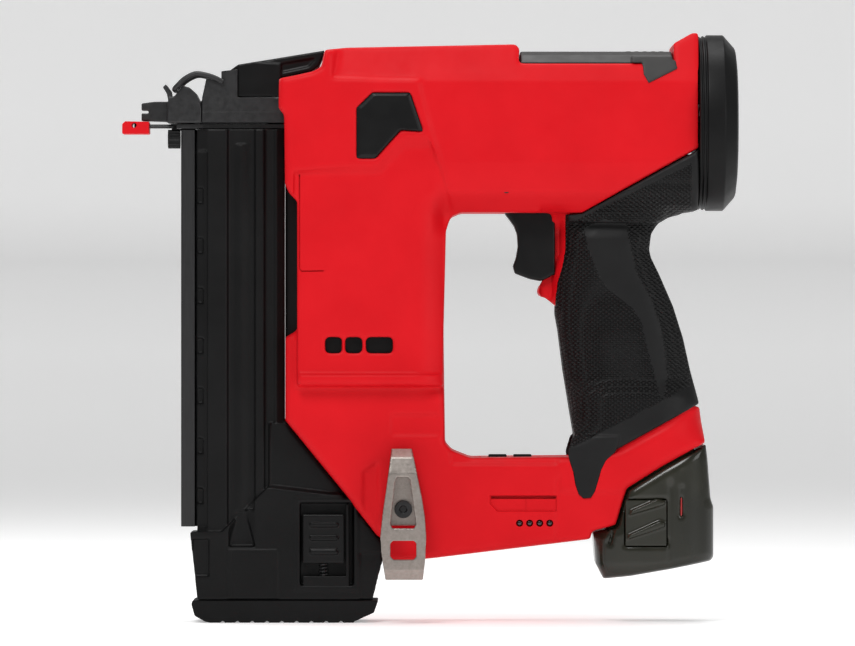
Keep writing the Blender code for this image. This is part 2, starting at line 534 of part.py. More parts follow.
def electrics():
    """Control board, battery terminals and the two keys."""
    board = block((76.0, 8.0, 40.0), (119.0, 9.6, 66.0))
    chips = [block((80.0, 4.5, 44.0), (92.0, 8.5, 60.0)), rod((104.0, 52.0), 4.0, 0.5, 8.5, "Y", 16)]
    build("control_board", "circuit_board", board, chips)
    build("terminal_block", "grey_plastic", leaned(block((149.0, -10.0, 111.0), (167.0, 10.0, 119.0))))
    for number, x in enumerate((87.4, 98.4), 1):
        build(f"keypad_button_{number}", "black_plastic", block((x, -5.0, 71.3), (x + 8.0, 5.0, 73.7)))


def battery():
    """The slide-in battery: its case and stem, three cells, the contact cap and the two release tabs."""
    case = ((133.3, 39.8), (143.6, 42.4), (148.4, 58.5), (163.7, 68.0), (182.6, 78.5), (183.4, 72.0), (184.8, 54.6),
            (186.1, 51.0), (186.1, 29.0), (184.8, 27.3), (167.2, 23.8), (149.6, 20.7), (137.7, 19.4), (134.2, 26.4))
    x, z = BATTERY_SPOT
    low_corner = (x - STEM_HALF_DEPTH, -STEM_HALF_WIDTH, z - 20.0)
    stem = leaned(block(low_corner, (x + STEM_HALF_DEPTH, STEM_HALF_WIDTH, z + 37.0)))
    both = [swept(case, -0.5, BATTERY_HALF, rim=3.5), flipped(swept(case, -0.5, BATTERY_HALF, rim=3.5))]
    spots = ((-8.0, -9.25), (-8.0, 9.25), (8.2, 0.0))
    bores = [leaned(rod((x + t, y), CELL_RADIUS + 0.25, z - 33.0, z + 50.0, "Z", 24)) for t, y in spots]
    seats = [block((146.6, 21.6, 33.6), (165.6, 30.0, 54.6)), block((146.6, -30.0, 33.6), (165.6, -21.6, 54.6))]
    build("battery_case", "smoke_plastic", stem, both, bores + seats)
    for number, (t, y) in enumerate(spots, 1):
        low = z - CELL_LENGTH / 2
        shape = leaned(rod((x + t, y), CELL_RADIUS, low, low + CELL_LENGTH, "Z", 24))
        build(f"battery_cell_{number}", "cell_wrap", shape)
    plate = leaned(block((x - 21.0, -18.5, z + 37.4), (x + 21.0, 18.5, z + 39.6)))
    tower = leaned(block((x - 7.0, -8.0, z + 39.0), (x + 7.0, 8.0, z + 48.5)))
    build("battery_cap", "black_plastic", plate, [tower])
    for name, side in (("release_tab_left", -1), ("release_tab_right", 1)):
        tab = block((147.0, 22.8, 34.0), (165.2, 24.4, 54.2))
        ribs = [block((149.0, 23.6, low), (163.2, 25.2, low + 1.8)) for low in (39.0, 45.0)]
        shapes = [tab, *ribs]
        if side < 0:
            shapes = [flipped(s) for s in shapes]
        build(name, "smoke_plastic", shapes[0], shapes[1:])


def belt_hook():
    """Bent steel belt hook, tapered and pierced, and the screw that holds it to the left half."""
    bend = ((-38.4, 24.0), (-38.4, 66.0), (-36.6, 73.0), (-32.0, 76.8), (-27.4, 75.0), (-24.4, 70.0), (-24.4, 43.0),
            (-26.3, 43.0), (-26.3, 69.4), (-28.6, 73.2), (-32.0, 74.8), (-35.0, 72.0), (-36.5, 66.0), (-36.5, 26.0),
            (-35.2, 19.7), (-37.0, 19.7))
    taper = ((44.8, 77.5), (43.8, 68.8), (42.6, 59.9), (41.0, 49.0), (39.9, 38.5), (40.4, 31.0), (42.3, 19.0),
             (58.4, 19.0), (59.5, 28.0), (60.0, 38.5), (59.4, 47.0), (58.0, 56.0), (56.1, 65.0), (53.6, 77.5))
    cuts = [
        swept(((47.6, 64.6), (46.5, 63.4), (44.3, 44.0), (45.2, 42.2), (54.6, 42.2), (55.5, 44.0), (52.9, 63.4),
               (51.8, 64.6)), -50.0, -30.0),
        swept(((45.4, 36.8), (44.4, 35.6), (44.4, 30.0), (45.6, 28.6), (54.4, 28.6), (55.6, 30.0), (55.6, 35.6),
               (54.6, 36.8)), -50.0, -30.0),
        rod((49.9, 50.2), 2.4, -30.0, -20.0, "Y", 12),
    ]
    build("belt_hook", "steel", swept(bend, 38.0, 62.0, "X"), meet=swept(taper, -50.0, -20.0), cuts=cuts)
    head = rod((49.9, 50.2), 3.9, -29.2, -26.6, "Y", 20)
    shank = rod((49.9, 50.2), 1.9, -27.5, -14.0, "Y", 12)
    socket = rod((49.9, 50.2), 1.8, -31.0, -27.6, "Y", 6)
    build("belt_hook_screw", "black_metal", head, [shank], [socket])


def main():
    for old in list(bpy.data.objects):
        bpy.data.objects.remove(old)
    housing_half(-1, "housing_left")
    housing_half(1, "housing_right")
    grip_cover(-1, "grip_cover_left")
    grip_cover(1, "grip_cover_right")
    covers()
    housing_screws()
    nose_base()
    jam_release()
    contact_foot()
    magazine()
    drive()
    motor()
    trigger_group()
    electrics()
    battery()
    belt_hook()


main()
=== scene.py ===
"""The looks of the brad nailer: moulded shells, rubber, steel and studio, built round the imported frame.

Numbers in the piece functions are millimetres in the frame's own axes: X runs back from the nose, Z is up,
and the tool's left side, which the camera sees, is -Y.
"""
import math

import bmesh
import bpy
from mathutils import Matrix, Vector


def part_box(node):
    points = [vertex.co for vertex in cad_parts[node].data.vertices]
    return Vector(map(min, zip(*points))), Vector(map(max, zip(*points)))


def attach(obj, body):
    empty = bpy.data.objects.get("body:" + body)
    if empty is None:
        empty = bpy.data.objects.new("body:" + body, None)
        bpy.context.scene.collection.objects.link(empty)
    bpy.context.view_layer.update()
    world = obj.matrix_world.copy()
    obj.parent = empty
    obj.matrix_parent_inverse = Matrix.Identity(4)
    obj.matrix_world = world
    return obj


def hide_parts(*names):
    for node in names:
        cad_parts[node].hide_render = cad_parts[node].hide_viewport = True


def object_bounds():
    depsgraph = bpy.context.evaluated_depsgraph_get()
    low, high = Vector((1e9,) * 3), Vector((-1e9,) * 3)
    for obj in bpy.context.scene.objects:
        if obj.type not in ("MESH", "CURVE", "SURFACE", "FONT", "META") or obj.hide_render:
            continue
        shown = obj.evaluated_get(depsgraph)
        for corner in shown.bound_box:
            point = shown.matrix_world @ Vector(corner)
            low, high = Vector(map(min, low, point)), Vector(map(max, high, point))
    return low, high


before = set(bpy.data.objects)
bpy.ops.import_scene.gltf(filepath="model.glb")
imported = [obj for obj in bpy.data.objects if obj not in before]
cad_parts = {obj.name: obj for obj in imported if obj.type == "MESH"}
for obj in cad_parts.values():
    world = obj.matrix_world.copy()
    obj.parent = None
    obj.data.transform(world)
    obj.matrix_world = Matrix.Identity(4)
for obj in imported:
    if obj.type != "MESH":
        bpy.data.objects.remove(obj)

CAD_BOUNDS = [list(corner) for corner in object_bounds()]
MM = 0.001
SIDES = ((-1, "left"), (1, "right"))

# Half widths of the shells, and a depth outside every shell, where a cutter can end.
BODY_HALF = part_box("housing_right")[1][1] / MM
GRIP_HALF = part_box("grip_cover_right")[1][1] / MM
LOWER_HALF = 24.0
FOOT_HALF = 15.0
OUTSIDE = 40.0

# An edge that bends more than this is shaded as a crease.
CREASE = math.radians(38.0)


# ---------------------------------------------------------------- solids

def outward(bm):
    """Turns every face of a closed solid outwards."""
    bmesh.ops.recalc_face_normals(bm, faces=bm.faces)
    if bm.calc_volume(signed=True) < 0.0:
        bmesh.ops.reverse_faces(bm, faces=bm.faces)
    return bm


def lofted(rings, closed=False):
    """Solid skin through rings of points with equal counts; closed joins the last ring to the first."""
    bm = bmesh.new()
    made = [[bm.verts.new(Vector(p) * MM) for p in ring] for ring in rings]
    pairs = list(zip(made, made[1:]))
    if closed:
        pairs.append((made[-1], made[0]))
    for ring, follow in pairs:
        for k in range(len(ring)):
            j = (k + 1) % len(ring)
            bm.faces.new((ring[k], ring[j], follow[j], follow[k]))
    if not closed:
        bm.faces.new(made[0])
        bm.faces.new(made[-1])
    return outward(bm)


def swept(outline, low, high, axis="Y"):
    """Solid with an outline in the two other axes, extruded along one axis."""
    order = {"X": (2, 0, 1), "Y": (0, 2, 1), "Z": (0, 1, 2)}[axis]
    rings = [[[(u, v, level)[i] for i in order] for u, v in outline] for level in (low, high)]
    return lofted(rings)


def block(low, high):
    """Rectangular solid between two corners."""
    outline = ((low[0], low[1]), (high[0], low[1]), (high[0], high[1]), (low[0], high[1]))
    return swept(outline, low[2], high[2], "Z")


def oval(centre, half_u, half_v, sides=48, power=2.0):
    """Points round an oval; a power over 2 squares it off."""
    points = []
    for i in range(sides):
        angle = 2 * math.pi * i / sides
        c, s = math.cos(angle), math.sin(angle)
        points.append((centre[0] + half_u * math.copysign(abs(c) ** (2 / power), c),
                       centre[1] + half_v * math.copysign(abs(s) ** (2 / power), s)))
    return points


def rod(centre, radius, low, high, axis="Y", sides=32):
    """Round bar along an axis."""
    return swept(oval(centre, radius, radius, sides), low, high, axis)


def smooth_path(points, steps=8):
    """Points along a Catmull-Rom curve through a few given ones."""
    spots = [Vector(p) for p in points]
    ends = [2 * spots[0] - spots[1], *spots, 2 * spots[-1] - spots[-2]]
    path = []
    for i in range(1, len(ends) - 2):
        a, b, c, d = ends[i - 1:i + 3]
        for k in range(steps):
            t = k / steps
            path.append(0.5 * (2 * b + (c - a) * t + (2 * a - 5 * b + 4 * c - d) * t ** 2
                               + (3 * b - a - 3 * c + d) * t ** 3))
    path.append(spots[-1])
    return path


def wire(points, radius, sides=16, steps=8):
    """Round wire along a smooth curve."""
    path = smooth_path(points, steps)
    side = (path[1] - path[0]).orthogonal().normalized()
    rings = []
    for i, point in enumerate(path):
        ahead = (path[min(i + 1, len(path) - 1)] - path[max(i - 1, 0)]).normalized()
        side = (side - ahead * side.dot(ahead)).normalized()
        other = ahead.cross(side)
        rings.append([point + (side * math.cos(a) + other * math.sin(a)) * radius
                      for a in (2 * math.pi * k / sides for k in range(sides))])
    return lofted(rings)


def flipped(bm):
    """The solid mirrored to the other side of the tool."""
    bmesh.ops.transform(bm, matrix=Matrix.Scale(-1.0, 4, (0.0, 1.0, 0.0)), verts=bm.verts)
    bmesh.ops.reverse_faces(bm, faces=bm.faces)
    return bm


def on_side(side, solids):
    """Solids drawn on +Y, moved to the asked side."""
    return [flipped(s) if side < 0 else s for s in solids]


# ---------------------------------------------------------------- pieces

def new_piece(name, bm):
    """An object made from a solid, which it uses up."""
    mesh = bpy.data.meshes.new(name)
    bm.to_mesh(mesh)
    bm.free()
    piece = bpy.data.objects.new(name, mesh)
    bpy.context.collection.objects.link(piece)
    return piece


def from_node(name, node):
    """A new piece that starts as a copy of a CAD node's mesh."""
    piece = bpy.data.objects.new(name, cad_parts[node].data.copy())
    piece.data.materials.clear()
    bpy.context.collection.objects.link(piece)
    return piece


def settle(piece):
    """Makes the piece's modifiers part of its mesh."""
    bpy.context.view_layer.update()
    graph = bpy.context.evaluated_depsgraph_get()
    mesh = bpy.data.meshes.new_from_object(piece.evaluated_get(graph))
    piece.modifiers.clear()
    piece.data = mesh


def combine(piece, solids, operation):
    """Joins or cuts solids, one after another."""
    for solid in solids:
        tool = new_piece("tool", solid)
        step = piece.modifiers.new("step", "BOOLEAN")
        step.operation = operation
        step.solver = "EXACT"
        step.object = tool
        settle(piece)
        bpy.data.objects.remove(tool)


def soften(piece, voxel, rounds):
    """One even skin, relaxed so that its edges and inner corners become moulded fillets."""
    remesh = piece.modifiers.new("skin", "REMESH")
    remesh.mode = "VOXEL"
    remesh.voxel_size = voxel * MM * 1.0
    remesh.adaptivity = 0.0
    relax = piece.modifiers.new("relax", "SMOOTH")
    relax.factor = 0.5
    relax.iterations = rounds
    settle(piece)


def dress(piece, material, body, slot, *nodes):
    """Gives a finished piece its material, its body and the nodes it stands for. The slot is not used."""
    piece.data.materials.clear()
    piece.data.materials.append(material)
    piece.data.shade_smooth()
    piece.data.set_sharp_from_angle(angle=CREASE)
    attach(piece, body)
    if nodes:
        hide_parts(*nodes)


def moulded(name, node, material, body, slot, voxel, rounds, add=(), cut=(), carve=(), shape=None):
    """A CAD node's shape with more detail, softened into one moulding, then cut crisply."""
    piece = from_node(name, node)
    combine(piece, add, "UNION")
    combine(piece, cut, "DIFFERENCE")
    soften(piece, voxel, rounds)
    if shape:
        for vertex in piece.data.vertices:
            vertex.co = shape(vertex.co / MM) * MM
    combine(piece, carve, "DIFFERENCE")
    dress(piece, material, body, slot, node)
    return piece


# ---------------------------------------------------------------- materials

def shader_nodes(name):
    """A new node material, its tree and its main shader."""
    material = bpy.data.materials.new(name)
    material.use_nodes = True
    tree = material.node_tree
    return material, tree, tree.nodes["Principled BSDF"]


def noise(tree, scale, detail=3.0, roughness=0.5, stretch=None):
    """Noise on the object's own coordinates, finer with scale; stretch squeezes it along an axis."""
    place = tree.nodes.new("ShaderNodeTexCoord")
    source = place.outputs["Object"]
    if stretch:
        mapping = tree.nodes.new("ShaderNodeMapping")
        mapping.inputs["Scale"].default_value = stretch
        tree.links.new(source, mapping.inputs["Vector"])
        source = mapping.outputs["Vector"]
    texture = tree.nodes.new("ShaderNodeTexNoise")
    texture.inputs["Scale"].default_value = scale
    texture.inputs["Detail"].default_value = detail
    texture.inputs["Roughness"].default_value = roughness
    tree.links.new(source, texture.inputs["Vector"])
    return texture.outputs["Fac"]


def span(tree, value, low, high, start=0.3, end=0.7):
    """Maps a value's middle range onto low to high."""
    node = tree.nodes.new("ShaderNodeMapRange")
    node.inputs["From Min"].default_value = start
    node.inputs["From Max"].default_value = end
    node.inputs["To Min"].default_value = low
    node.inputs["To Max"].default_value = high
    tree.links.new(value, node.inputs["Value"])
    return node.outputs["Result"]


def tint(tree, factor, dark, light):
    """Colour between two, by a factor."""
    node = tree.nodes.new("ShaderNodeMix")
    node.data_type = "RGBA"
    node.inputs["A"].default_value = (*dark, 1.0)
    node.inputs["B"].default_value = (*light, 1.0)
    tree.links.new(factor, node.inputs["Factor"])
    return node.outputs["Result"]


def raised(tree, shader, height, strength, distance):
    """Bump from a height, in metres, added under any bump already there."""
    node = tree.nodes.new("ShaderNodeBump")
    node.inputs["Strength"].default_value = strength
    node.inputs["Distance"].default_value = distance
    tree.links.new(height, node.inputs["Height"])
    normal = shader.inputs["Normal"]
    if normal.is_linked:
        tree.links.new(normal.links[0].from_socket, node.inputs["Normal"])
    tree.links.new(node.outputs["Normal"], normal)


def plastic(name, dark, light, rough, grain=0.35, grain_scale=1900.0, specular=0.5, coat=0.0):
    """Moulded plastic: a slow drift of colour and gloss, and a fine spark-eroded grain."""
    material, tree, shader = shader_nodes(name)
    drift = noise(tree, 35.0, 4.0)
    tree.links.new(tint(tree, span(tree, drift, 0.0, 1.0), dark, light), shader.inputs["Base Color"])
    cloud = noise(tree, 160.0, 5.0)
    tree.links.new(span(tree, cloud, rough - 0.05, rough + 0.06), shader.inputs["Roughness"])
    raised(tree, shader, noise(tree, grain_scale, 2.0), grain, 0.00008)
    shader.inputs["Specular IOR Level"].default_value = specular
    shader.inputs["Coat Weight"].default_value = coat
    return material


def metal(name, dark, light, rough, grain=(60.0, 60.0, 900.0), strength=0.15, metallic=1.0):
    """Drawn or blasted metal: fine stretched grain in colour, gloss and bump."""
    material, tree, shader = shader_nodes(name)
    streak = noise(tree, 8.0, 6.0, 0.6, grain)
    tree.links.new(tint(tree, span(tree, streak, 0.0, 1.0), dark, light), shader.inputs["Base Color"])
    tree.links.new(span(tree, streak, rough - 0.06, rough + 0.08), shader.inputs["Roughness"])
    raised(tree, shader, streak, strength, 0.00005)
    raised(tree, shader, noise(tree, 1400.0, 2.0), strength, 0.00005)
    shader.inputs["Metallic"].default_value = metallic
    return material


def knurled_rubber():
    """Soft grip rubber: small hexagonal studs where the mesh's own mask asks for them, with painted shade in
    the hollows between them, plain elsewhere.
    """
    material, tree, shader = shader_nodes("knurled_rubber")
    place = tree.nodes.new("ShaderNodeTexCoord")
    cells = tree.nodes.new("ShaderNodeTexVoronoi")
    cells.inputs["Scale"].default_value = 560.0
    cells.inputs["Randomness"].default_value = 0.10
    turn = tree.nodes.new("ShaderNodeMapping")
    turn.inputs["Rotation"].default_value = (0.0, math.radians(45.0), 0.0)
    turn.inputs["Scale"].default_value = (1.0, 1.0, 1.35)
    tree.links.new(place.outputs["Object"], turn.inputs["Vector"])
    tree.links.new(turn.outputs["Vector"], cells.inputs["Vector"])
    stud = span(tree, cells.outputs["Distance"], 1.0, 0.0, 0.25, 0.62)
    mask = tree.nodes.new("ShaderNodeAttribute")
    mask.attribute_name = "studs"
    height = tree.nodes.new("ShaderNodeMath")
    height.operation = "MULTIPLY"
    tree.links.new(stud, height.inputs[0])
    tree.links.new(mask.outputs["Fac"], height.inputs[1])
    # Painted shade: inside the mask the hollows between the studs are mixed towards near black.
    painted_gap_shade = tree.nodes.new("ShaderNodeMath")
    painted_gap_shade.operation = "SUBTRACT"
    tree.links.new(mask.outputs["Fac"], painted_gap_shade.inputs[0])
    tree.links.new(height.outputs["Value"], painted_gap_shade.inputs[1])
    drift = tint(tree, span(tree, noise(tree, 60.0, 4.0), 0.0, 1.0),
                 (0.0042, 0.0042, 0.0043), (0.0068, 0.0068, 0.0070))
    shade = tree.nodes.new("ShaderNodeMix")
    shade.data_type = "RGBA"
    shade.inputs["B"].default_value = (0.0015, 0.0015, 0.0016, 1.0)
    tree.links.new(painted_gap_shade.outputs["Value"], shade.inputs["Factor"])
    tree.links.new(drift, shade.inputs["A"])
    tree.links.new(shade.outputs["Result"], shader.inputs["Base Color"])
    tree.links.new(span(tree, noise(tree, 300.0), 0.46, 0.58), shader.inputs["Roughness"])
    raised(tree, shader, height.outputs["Value"], 1.0, 0.0007)
    raised(tree, shader, noise(tree, 2200.0, 2.0), 0.3, 0.00006)
    shader.inputs["Specular IOR Level"].default_value = 0.22
    return material


def smoked(name):
    """Smoke-tinted battery plastic with a faint warm depth."""
    material, tree, shader = shader_nodes(name)
    drift = noise(tree, 30.0, 3.0)
    smoke = tint(tree, span(tree, drift, 0.0, 1.0), (0.0105, 0.0108, 0.0070), (0.0230, 0.0230, 0.0150))
    tree.links.new(smoke, shader.inputs["Base Color"])
    tree.links.new(span(tree, noise(tree, 120.0, 4.0), 0.16, 0.24), shader.inputs["Roughness"])
    raised(tree, shader, noise(tree, 500.0, 2.0), 0.10, 0.00006)
    shader.inputs["Specular IOR Level"].default_value = 0.30
    shader.inputs["Coat Weight"].default_value = 0.18
    shader.inputs["Coat Roughness"].default_value = 0.12
    return material


RED = plastic("red_nylon", (0.56, 0.0040, 0.0085), (0.62, 0.0058, 0.0110), 0.46, grain=0.25, specular=0.12)
BLACK = plastic("black_nylon", (0.0036, 0.0036, 0.0037), (0.0060, 0.0060, 0.0062), 0.44, grain=0.5,
                specular=0.15)
SATIN_BLACK = plastic("satin_black_nylon", (0.0038, 0.0038, 0.0039), (0.0062, 0.0062, 0.0064), 0.34,
                      grain=0.2, specular=0.18)
RUBBER = plastic("black_rubber", (0.0036, 0.0036, 0.0037), (0.0058, 0.0058, 0.0060), 0.60, grain=0.6,
                 specular=0.15)
# A greyer, browner black than the other black plastics, used on the top cover.
TOP_BLACK = plastic("greyish_black_nylon", (0.011, 0.0105, 0.010), (0.020, 0.019, 0.018), 0.52, grain=0.5)
GREY = plastic("grey_nylon", (0.22, 0.22, 0.20), (0.30, 0.30, 0.28), 0.5)
LENS = plastic("gauge_lens", (0.010, 0.004, 0.004), (0.020, 0.006, 0.006), 0.15, grain=0.05, coat=0.6)
BOARD = plastic("solder_mask", (0.01, 0.10, 0.035), (0.02, 0.16, 0.06), 0.4)
WRAP = plastic("cell_wrap", (0.35, 0.010, 0.012), (0.48, 0.02, 0.02), 0.3, grain=0.1)
SMOKE = smoked("smoked_polycarbonate")
KNURL = knurled_rubber()
HOOK = metal("satin_nickel", (0.27, 0.238, 0.215), (0.35, 0.312, 0.285), 0.36, (90.0, 90.0, 90.0), 0.25)
BRIGHT = metal("bright_steel", (0.52, 0.52, 0.53), (0.70, 0.70, 0.70), 0.24)
BLACK_METAL = metal("blackened_steel", (0.007, 0.007, 0.0075), (0.016, 0.016, 0.017), 0.42,
                    (50.0, 50.0, 50.0), 0.3, 0.15)
CAST = metal("cast_aluminium", (0.48, 0.48, 0.49), (0.64, 0.64, 0.65), 0.42, (40.0, 40.0, 40.0), 0.4)
ANODISED = metal("black_anodised", (0.008, 0.008, 0.0085), (0.015, 0.015, 0.016), 0.36,
                 (300.0, 300.0, 12.0), 0.15, 0.12)
COPPER = metal("copper_winding", (0.42, 0.18, 0.08), (0.66, 0.32, 0.15), 0.35, (30.0, 30.0, 700.0), 0.5)
MAGNET = metal("coated_magnet_steel", (0.12, 0.12, 0.13), (0.22, 0.22, 0.23), 0.4, (40.0, 40.0, 40.0), 0.3)


# ---------------------------------------------------------------- the grip's roundness

def grip_middle(z):
    """Middle and half depth of the grip at a height, in X."""
    stations = ((70.0, 152.0, 28.0), (96.0, 151.0, 28.2), (111.0, 148.0, 28.0), (125.0, 145.5, 27.6),
                (139.0, 142.6, 26.2), (153.0, 140.2, 22.8), (163.0, 139.5, 18.8), (180.0, 142.5, 22.0))
    if z <= stations[0][0]:
        return stations[0][1:]
    for (z0, x0, d0), (z1, x1, d1) in zip(stations, stations[1:]):
        if z <= z1:
            t = (z - z0) / (z1 - z0)
            return x0 + (x1 - x0) * t, d0 + (d1 - d0) * t
    return stations[-1][1:]


def ease(t):
    """Smooth step from 0 to 1."""
    t = min(max(t, 0.0), 1.0)
    return t * t * (3.0 - 2.0 * t)


def form(co):
    """The tool's roundness: an oval grip, a barrel over it and a rolled rear edge on the front column."""
    x, y, z = co

    # Along the barrel the sides draw in below its middle, and the crown draws in above it.
    barrel = ease((x - 62.0) / 8.0) * ease((z - 168.0) / 12.0)
    low = max(0.0, 202.0 - z) / 22.0
    high = max(0.0, z - 237.0) / 20.0
    crown = ease((x - 14.0) / 10.0)
    y *= 1.0 - barrel * 0.17 * (0.45 * low + 0.55 * low * low) - crown * 0.20 * high

    # On the column the sides roll in towards the rear edge.
    column = ease((z - 98.0) / 10.0) * ease((190.0 - z) / 12.0)
    y *= 1.0 - column * 0.20 * min(max((x - 54.0) / 13.5, 0.0), 1.0) ** 2.2

    # Round the grip the section is an oval, a little slimmer at the waist.
    amount = ease((z - 76.0) / 16.0) * ease((184.0 - z) / 14.0)
    if amount <= 0.0 or x < 110.0:
        return Vector((x, y, z))
    middle, half = grip_middle(z)
    across = min(abs(x - middle) / (half + 2.0), 0.985)
    oval_factor = (1.0 - across ** 3.0) ** (1.0 / 2.6)
    waist = 1.0 - 0.10 * ease((z - 120.0) / 35.0)
    return Vector((x, y * (1.0 + (oval_factor * waist - 1.0) * amount), z))


def inside(point, outline):
    """Whether a point lies in a closed outline."""
    x, z = point
    odd = False
    for (x0, z0), (x1, z1) in zip(outline, outline[1:] + outline[:1]):
        if (z0 > z) != (z1 > z) and x < (x1 - x0) * (z - z0) / (z1 - z0) + x0:
            odd = not odd
    return odd


# The smooth panel on the side of the grip, in X and Z.
SMOOTH_PANEL = ((129.0, 173.0), (131.1, 164.0), (135.5, 152.6), (139.2, 147.0), (144.5, 142.9),
                (150.2, 138.0), (154.2, 131.5), (156.7, 120.9), (160.3, 107.9), (161.4, 101.4),
                (163.0, 99.2), (164.6, 100.6), (165.6, 108.7), (163.2, 129.0), (159.1, 141.3),
                (152.6, 153.5), (149.4, 167.3), (147.7, 175.5), (138.0, 177.4))


def mark_studs(piece):
    """Stores where the rubber carries its studs and the painted shade between them: not on the side panel,
    the neck's edge or the lower band.
    """
    mask = piece.data.attributes.new("studs", "FLOAT", "POINT")

    # The lower band and the neck's edge are slanting lines in X and Z.
    for vertex in piece.data.vertices:
        x, _, z = vertex.co / MM
        above_band = z - (x - 126.2) * 0.517 > 78.4
        below_edge = z - (x - 121.0) * 0.49 < 174.2 and x < 176.0
        studded = above_band and below_edge and not inside((x, z), SMOOTH_PANEL)
        mask.data[vertex.index].value = 1.0 if studded else 0.0


# ---------------------------------------------------------------- shells

# Outlines in X and Z: the grip's tongue over the bridge, the top cover's inlay, the step under the shoulder
# at its foot and its crest with the rest of its cut, the slope beside the shoulder, and the barrel.
TONGUE = ((121.8, 74.5), (123.0, 70.0), (124.2, 66.5), (125.1, 60.9), (126.6, 56.6), (128.8, 54.7),
          (131.9, 54.9), (133.8, 57.8), (135.2, 62.4), (136.6, 67.4), (138.6, 71.4), (143.0, 75.4),
          (144.5, 82.0), (124.0, 82.0))
NOTCH = ((154.2, 246.5), (155.0, 240.0), (157.1, 236.3), (169.8, 242.7), (168.9, 246.5))
STEP_HIGH = ((2.0, 198.4), (30.7, 200.8), (38.2, 200.8), (48.9, 213.6), (60.2, 213.9))
STEP_LOW = ((2.0, 196.4), (30.7, 196.7), (40.4, 196.9), (51.0, 207.6), (65.6, 208.6))
BELOW_STEP = ((67.6, 196.0), (72.0, 180.0), (72.0, 109.0), (2.0, 109.0))
BESIDE_LOW = ((57.8, 238.2), (66.4, 208.4))
BESIDE_HIGH = ((55.6, 237.2), (61.2, 213.4))
BARREL = ((72.0, 176.0), (192.0, 176.0), (192.0, 264.0), (22.0, 264.0), (18.5, 238.8))

# The front and back of each vent slot, and the places of the gauge's lamps.
VENT_SLOTS = ((15.8, 23.0), (24.6, 32.0), (33.6, 45.3))
GAUGE_HOLES = (100.8, 105.2, 109.6, 114.0)
GAUGE_Z = 44.0


def stepped(low_outline, high_outline, low, high):
    """A solid whose outline changes evenly from one depth to another, and so cuts a sloping wall."""
    clear = 0.06
    return lofted([[(x, level, z) for x, z in outline] for outline, level in
                   ((low_outline, low), (high_outline, high + clear), (high_outline, high + 10.0))])


def grooved(line, depth, face, width=0.5):
    """Thin solids along a line in X and Z, to cut a fine groove into a side face."""
    solids = []
    for (x0, z0), (x1, z1) in zip(line, line[1:]):
        along = Vector((x1 - x0, z1 - z0)).normalized()
        across = Vector((-along.y, along.x)) * width / 2
        x0, z0, x1, z1 = x0 - along.x * 0.1, z0 - along.y * 0.1, x1 + along.x * 0.1, z1 + along.y * 0.1
        quad = ((x0 - across.x, z0 - across.y), (x1 - across.x, z1 - across.y),
                (x1 + across.x, z1 + across.y), (x0 + across.x, z0 + across.y))
        solids.append(swept(quad, face - depth, face + 3.0))
    return solids


def backed(wide, narrow):
    """A plate inside the housing's side wall, narrower towards the wall, for the reliefs to be cut into."""
    return lofted([[(x, y, z) for x, z in outline]
                   for outline, y in ((wide, BODY_HALF - 5.6), (narrow, BODY_HALF - 2.3))])


def housing_plates():
    """What thickens one side wall from within: behind the column and shoulder, the barrel, and the hook."""
    column_inner = ((4.4, 106.0), (66.6, 106.0), (67.2, 150.0), (68.4, 174.0), (72.0, 181.6), (72.0, 214.0),
                    (56.0, 237.4), (1.0, 237.4), (1.0, 193.0), (4.4, 187.6))
    column_outer = ((7.6, 109.2), (63.6, 109.2), (64.0, 150.0), (65.4, 174.0), (72.0, 184.8), (72.0, 214.0),
                    (56.0, 234.4), (1.6, 234.4), (1.6, 192.6), (7.6, 187.0))
    barrel_inner = ((60.0, 183.0), (128.0, 183.0), (176.8, 210.0), (176.8, 243.0), (54.0, 243.0))
    barrel_outer = ((60.0, 186.2), (127.0, 186.2), (173.4, 212.2), (173.4, 240.0), (54.0, 240.0))
    return [
        backed(column_inner, column_outer),
        backed(barrel_inner, barrel_outer),
        block((28.0, LOWER_HALF - 4.5, 38.0), (42.0, LOWER_HALF - 2.2, 74.0)),
    ]


def housing_reliefs():
    """The soft-edged cuts of one side: steps in the wall, the corner that the foot fills, and the vents."""
    shoulder_depth, barrel_depth = 2.4, 1.5
    solids = [
        stepped((*STEP_LOW, *BELOW_STEP), (*STEP_HIGH, *BELOW_STEP), BODY_HALF - shoulder_depth, BODY_HALF),
        stepped((*BARREL, *BESIDE_LOW), (*BARREL, *BESIDE_HIGH), BODY_HALF - barrel_depth, BODY_HALF),
        swept(((116.0, 30.0), (116.0, 63.0), (119.0, 66.0), (119.0, 30.0)), LOWER_HALF - 0.7, OUTSIDE),
        swept(((118.9, 30.0), (118.9, 58.0), (150.0, 58.0), (150.0, 30.0)), LOWER_HALF - 0.7, OUTSIDE),
        swept(((70.0, 69.4), (118.0, 69.4), (118.0, 80.0), (70.0, 80.0)), LOWER_HALF - 1.2, OUTSIDE),
        stepped(((33.0, 32.0), (33.0, 66.0), (39.0, 70.0), (39.0, 32.0)),
                ((31.4, 32.0), (31.4, 67.0), (39.0, 72.0), (39.0, 32.0)), LOWER_HALF - 1.2, LOWER_HALF),
        block((44.0, LOWER_HALF - 0.8, 82.0), (68.0, OUTSIDE, 92.0)),
        swept(((26.0, 54.2), (41.2, 34.8), (26.0, 34.8)), -1.0, OUTSIDE),
    ]
    solids += [block((front, 20.0, 118.4), (back, OUTSIDE, 125.4)) for front, back in VENT_SLOTS]
    return solids


